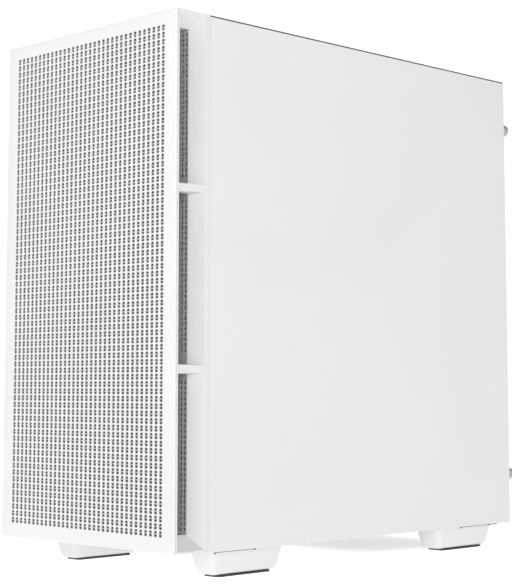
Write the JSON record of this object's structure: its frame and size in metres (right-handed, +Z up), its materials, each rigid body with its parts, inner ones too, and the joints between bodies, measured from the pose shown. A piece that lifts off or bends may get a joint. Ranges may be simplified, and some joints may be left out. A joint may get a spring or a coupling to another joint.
{
  "type": "desktop computer tower",
  "caption": "Compact white computer tower: perforated front plate stood off an inner mesh, side air slots, plain steel side, glass far side, trapezoid feet, full inner hardware.",
  "frame": {"origin": "centre of the bounding box at ground level", "axes": "+X towards the plain steel side panel, +Y from the front plate to the rear wall, +Z up"},
  "size_m": [0.215, 0.4308, 0.4351],
  "materials": {
    "white_paint": "fine powder coat, satin",
    "white_plastic": "fine moulded grain",
    "fan_plastic": "moulded, satin",
    "grey_mesh": "perforated, matt",
    "filter_screen": "woven screen in a moulded rim",
    "pad_rubber": "matt",
    "supply_steel": "textured black powder coat",
    "bright_steel": "nickel plated",
    "connector_block": "stamped shield over plastic sockets",
    "cooler_aluminium": "rolled fins",
    "memory_aluminium": "anodised spreader",
    "black_plastic": "moulded",
    "card_plastic": "moulded shroud",
    "smoked_glass": "tempered, lightly smoked",
    "board_lacquer": "solder mask",
    "cable_sleeve": "braided sleeve"
  },
  "bodies": {
    "chassis": {"chassis_front": "white_paint", "chassis_floor": "white_paint", "chassis_roof": "white_paint", "chassis_rear": "white_paint", "motherboard_tray": "white_paint", "psu_shroud": "white_paint", "slot_cover_1": "white_paint", "slot_cover_2": "white_paint", "foot_front_left": "white_plastic", "foot_front_right": "white_plastic", "foot_rear_left": "white_plastic", "foot_rear_right": "white_plastic", "front_fan_1_frame": "fan_plastic", "front_fan_2_frame": "fan_plastic", "front_fan_3_frame": "fan_plastic", "rear_fan_frame": "fan_plastic", "cpu_fan_frame": "fan_plastic", "foot_pad_front_left": "pad_rubber", "foot_pad_front_right": "pad_rubber", "foot_pad_rear_left": "pad_rubber", "foot_pad_rear_right": "pad_rubber", "psu_case": "supply_steel", "graphics_bracket": "bright_steel", "rear_connectors": "connector_block", "cpu_cooler": "cooler_aluminium", "memory_stick_1": "memory_aluminium", "memory_stick_2": "memory_aluminium", "nvme_drive": "memory_aluminium", "psu_inlet": "black_plastic", "graphics_card": "card_plastic", "motherboard": "board_lacquer", "board_power_cable": "cable_sleeve", "graphics_power_cable": "cable_sleeve"},
    "front_panel": {"front_mesh_plate": "white_paint", "front_bezel": "white_plastic", "front_inner_mesh": "grey_mesh", "usb_socket_1": "bright_steel", "usb_socket_2": "bright_steel", "usb_c_socket": "bright_steel", "audio_socket": "black_plastic"},
    "power_button": {"power_button": "white_plastic"},
    "reset_button": {"reset_button": "white_plastic"},
    "right_panel": {"right_side_panel": "white_paint"},
    "left_panel": {"left_glass_panel": "smoked_glass", "left_panel_bracket": "white_paint"},
    "top_filter": {"top_filter": "filter_screen"},
    "psu_filter": {"psu_filter": "filter_screen"},
    "psu_fan_rotor": {"psu_fan_rotor": "black_plastic"},
    "psu_switch": {"psu_switch": "black_plastic"},
    "graphics_rotor_1": {"graphics_rotor_1": "card_plastic"},
    "graphics_rotor_2": {"graphics_rotor_2": "card_plastic"},
    "front_fan_1_rotor": {"front_fan_1_rotor": "fan_plastic"},
    "front_fan_2_rotor": {"front_fan_2_rotor": "fan_plastic"},
    "front_fan_3_rotor": {"front_fan_3_rotor": "fan_plastic"},
    "rear_fan_rotor": {"rear_fan_rotor": "fan_plastic"},
    "cpu_fan_rotor": {"cpu_fan_rotor": "fan_plastic"},
    "thumbscrew_right_low": {"thumbscrew_right_low": "bright_steel"},
    "thumbscrew_right_high": {"thumbscrew_right_high": "bright_steel"},
    "thumbscrew_left_low": {"thumbscrew_left_low": "bright_steel"},
    "thumbscrew_left_high": {"thumbscrew_left_high": "bright_steel"}
  },
  "joints": [
    {"name": "front_panel_pull", "type": "slide", "parent": "chassis", "child": "front_panel", "axis": [0, -1, 0], "range_m": [0, 0.06]},
    {"name": "power_button_press", "type": "slide", "parent": "front_panel", "child": "power_button", "axis": [0, 0, -1], "range_m": [0, 0.0012], "stiffness_N_per_m": 450, "springref_m": -0.0012},
    {"name": "reset_button_press", "type": "slide", "parent": "front_panel", "child": "reset_button", "axis": [0, 0, -1], "range_m": [0, 0.0012], "stiffness_N_per_m": 450, "springref_m": -0.0012},
    {"name": "right_panel_slide", "type": "slide", "parent": "chassis", "child": "right_panel", "axis": [0, 1, 0], "range_m": [0, 0.39]},
    {"name": "left_panel_slide", "type": "slide", "parent": "chassis", "child": "left_panel", "axis": [0, 1, 0], "range_m": [0, 0.39]},
    {"name": "top_filter_lift", "type": "slide", "parent": "chassis", "child": "top_filter", "axis": [0, 0, 1], "range_m": [0, 0.06]},
    {"name": "psu_filter_slide", "type": "slide", "parent": "chassis", "child": "psu_filter", "axis": [0, 1, 0], "range_m": [0, 0.155]},
    {"name": "thumbscrew_right_low_turn", "type": "hinge", "parent": "right_panel", "child": "thumbscrew_right_low", "pos_m": [0.0995, 0.20415, 0.065], "axis": [0, 1, 0], "continuous": true},
    {"name": "thumbscrew_right_high_turn", "type": "hinge", "parent": "right_panel", "child": "thumbscrew_right_high", "pos_m": [0.0995, 0.20415, 0.39], "axis": [0, 1, 0], "continuous": true},
    {"name": "thumbscrew_left_low_turn", "type": "hinge", "parent": "left_panel", "child": "thumbscrew_left_low", "pos_m": [-0.095, 0.20415, 0.065], "axis": [0, 1, 0], "continuous": true},
    {"name": "thumbscrew_left_high_turn", "type": "hinge", "parent": "left_panel", "child": "thumbscrew_left_high", "pos_m": [-0.095, 0.20415, 0.39], "axis": [0, 1, 0], "continuous": true},
    {"name": "front_fan_1_spin", "type": "hinge", "parent": "chassis", "child": "front_fan_1_rotor", "pos_m": [0, -0.16605, 0.087], "axis": [0, 1, 0], "continuous": true},
    {"name": "front_fan_2_spin", "type": "hinge", "parent": "chassis", "child": "front_fan_2_rotor", "pos_m": [0, -0.16605, 0.209], "axis": [0, 1, 0], "continuous": true},
    {"name": "front_fan_3_spin", "type": "hinge", "parent": "chassis", "child": "front_fan_3_rotor", "pos_m": [0, -0.16605, 0.331], "axis": [0, 1, 0], "continuous": true},
    {"name": "rear_fan_spin", "type": "hinge", "parent": "chassis", "child": "rear_fan_rotor", "pos_m": [-0.0301, 0.18905, 0.35], "axis": [0, 1, 0], "continuous": true},
    {"name": "cpu_fan_spin", "type": "hinge", "parent": "chassis", "child": "cpu_fan_rotor", "pos_m": [-0.0161, 0.06755, 0.34], "axis": [0, 1, 0], "continuous": true},
    {"name": "graphics_rotor_1_spin", "type": "hinge", "parent": "chassis", "child": "graphics_rotor_1", "pos_m": [0.0134, 0.03185, 0.214], "axis": [0, 0, 1], "continuous": true},
    {"name": "graphics_rotor_2_spin", "type": "hinge", "parent": "chassis", "child": "graphics_rotor_2", "pos_m": [0.0134, 0.12585, 0.214], "axis": [0, 0, 1], "continuous": true},
    {"name": "psu_fan_spin", "type": "hinge", "parent": "chassis", "child": "psu_fan_rotor", "pos_m": [0, 0.13155, 0.0357], "axis": [0, 0, 1], "continuous": true},
    {"name": "psu_switch_rock", "type": "hinge", "parent": "chassis", "child": "psu_switch", "pos_m": [-0.011, 0.19755, 0.0837], "axis": [1, 0, 0], "range_deg": [-16, 0]}
  ]
}
